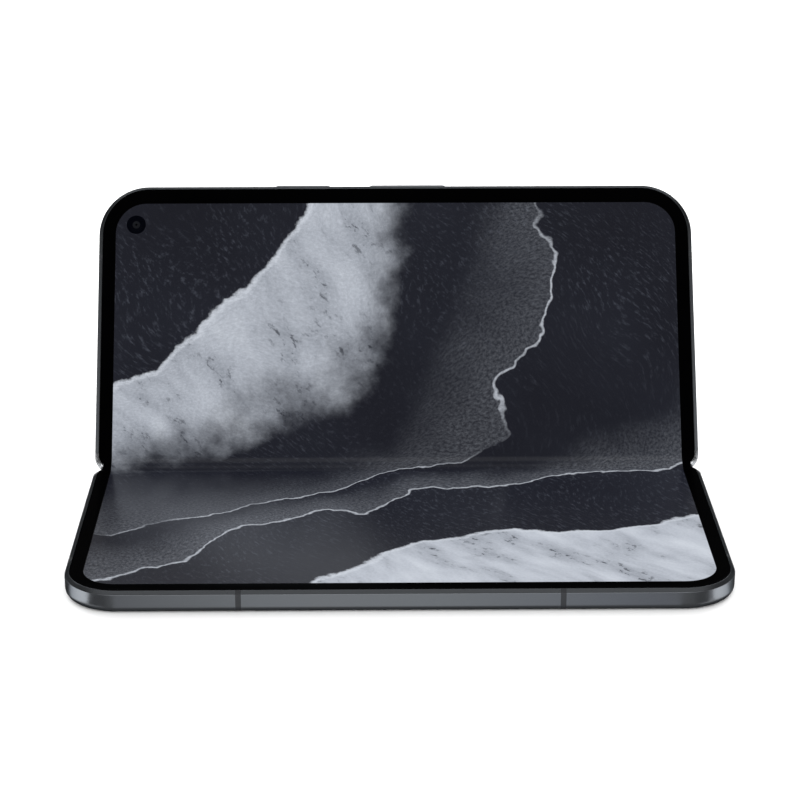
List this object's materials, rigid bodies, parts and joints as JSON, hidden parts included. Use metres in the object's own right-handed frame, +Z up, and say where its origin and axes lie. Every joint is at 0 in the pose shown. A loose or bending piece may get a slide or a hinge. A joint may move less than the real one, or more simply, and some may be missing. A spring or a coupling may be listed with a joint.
{
  "type": "foldable smartphone",
  "caption": "Book-style foldable phone: two thin leaves on a geared twin-axis spine, a flexible inner display, cover glass, rear camera island, side buttons and a card tray.",
  "frame": {"origin": "centre of the lower leaf's resting face, the flat face of its cover glass", "axes": "+Z up, +X along the hinge towards the charging port end, -Y towards the lower leaf's free edge"},
  "size_m": [0.1552, 0.118, 0.0689],
  "materials": {
    "frame_aluminium": "satin anodised, blue-grey",
    "button_aluminium": "satin anodised, slightly lighter",
    "antenna_plastic": "moulded inlay",
    "bezel_plastic": "fine satin black",
    "inner_display": "soft gloss polymer over a lit panel",
    "stainless_steel": "fine brushed",
    "polished_metal": "polished with a fine grain",
    "spine_metal": "satin anodised, darker",
    "hardened_steel": "ground",
    "black_screw": "black oxide",
    "gear_brass": "cut",
    "cover_glass": "polished, black behind",
    "back_glass": "fine satin, slate grey",
    "lens_glass": "coated",
    "black_plastic": "moulded",
    "camera_black": "gloss",
    "battery_wrap": "foil wrapped",
    "circuit_board": "solder mask",
    "nickel_plate": "nickel plated",
    "island_metal": "bead blasted, dark",
    "flash_diffuser": "ribbed diffuser",
    "copper_coil": "enamelled copper"
  },
  "bodies": {
    "lower_leaf": {"lower_frame": "frame_aluminium", "lower_antenna_bands": "antenna_plastic", "lower_inner_bezel": "bezel_plastic", "inner_display_lower": "inner_display", "lower_support_plate": "stainless_steel", "cover_glass": "cover_glass", "cover_display_panel": "black_plastic", "cover_camera": "black_plastic", "earpiece_speaker": "black_plastic", "lower_battery": "battery_wrap", "lower_subboard": "circuit_board", "sim_reader": "stainless_steel", "lower_hinge_arms": "stainless_steel", "lower_knuckles": "polished_metal", "lower_hinge_screws": "black_screw", "lower_magnets": "nickel_plate"},
    "sim_tray": {"sim_tray": "frame_aluminium"},
    "spine": {"spine_cover": "spine_metal", "hinge_brackets": "stainless_steel", "hinge_shafts": "hardened_steel", "spine_end_blocks": "spine_metal", "hinge_end_pins": "hardened_steel", "friction_washers": "hardened_steel", "centre_support_strip": "stainless_steel", "bracket_screws": "black_screw", "display_fold_strip": "inner_display", "fold_border_strips": "bezel_plastic"},
    "idler_a": {"idler_gears_a": "gear_brass"},
    "idler_b": {"idler_gears_b": "gear_brass"},
    "upper_leaf": {"upper_frame": "frame_aluminium", "upper_antenna_bands": "antenna_plastic", "upper_inner_bezel": "bezel_plastic", "inner_display_upper": "inner_display", "upper_support_plate": "stainless_steel", "back_glass": "back_glass", "camera_island": "island_metal", "camera_rings": "polished_metal", "camera_glasses": "lens_glass", "camera_modules": "black_plastic", "flash_window": "flash_diffuser", "inner_camera": "camera_black", "button_switches": "gear_brass", "mainboard": "circuit_board", "shield_cans": "nickel_plate", "upper_battery": "battery_wrap", "usb_c_port": "nickel_plate", "loudspeaker": "black_plastic", "charging_coil": "copper_coil", "vibration_motor": "nickel_plate", "upper_hinge_arms": "stainless_steel", "upper_knuckles": "polished_metal", "upper_hinge_screws": "black_screw", "upper_magnets": "nickel_plate"},
    "power_button": {"power_button": "button_aluminium"},
    "volume_rocker": {"volume_rocker": "button_aluminium"}
  },
  "joints": [
    {"name": "spine_fold", "type": "hinge", "parent": "lower_leaf", "child": "spine", "pos_m": [0, 0.0355, 0.0028], "axis": [1, 0, 0], "range_deg": [-29.29, 60.72], "deforming": ["display_fold_strip", "fold_border_strips"]},
    {"name": "upper_fold", "type": "hinge", "parent": "spine", "child": "upper_leaf", "pos_m": [0, 0.03986, 0.00525], "axis": [1, 0, 0], "range_deg": [-29.29, 60.72]},
    {"name": "idler_a_turn", "type": "hinge", "parent": "spine", "child": "idler_a", "pos_m": [0, 0.03695, 0.00362], "axis": [1, 0, 0], "range_deg": [-29.29, 60.72]},
    {"name": "idler_b_turn", "type": "hinge", "parent": "spine", "child": "idler_b", "pos_m": [0, 0.03841, 0.00443], "axis": [1, 0, 0], "range_deg": [-60.72, 29.29]},
    {"name": "power_press", "type": "slide", "parent": "upper_leaf", "child": "power_button", "axis": [0, -0.5215, -0.8533], "range_m": [0, 0.00025], "stiffness_N_per_m": 800},
    {"name": "volume_rock", "type": "hinge", "parent": "upper_leaf", "child": "volume_rocker", "pos_m": [0.00315, 0.07692, 0.06569], "axis": [0, -0.8533, 0.5215], "range_deg": [-1, 1], "stiffness_Nm_per_rad": 0.8},
    {"name": "tray_slide", "type": "slide", "parent": "lower_leaf", "child": "sim_tray", "axis": [1, 0, 0], "range_m": [0, 0.022]}
  ],
  "couplings": [
    {"joint": "upper_fold", "follows": "spine_fold", "ratio": 1},
    {"joint": "idler_a_turn", "follows": "spine_fold", "ratio": 1},
    {"joint": "idler_b_turn", "follows": "spine_fold", "ratio": -1}
  ]
}
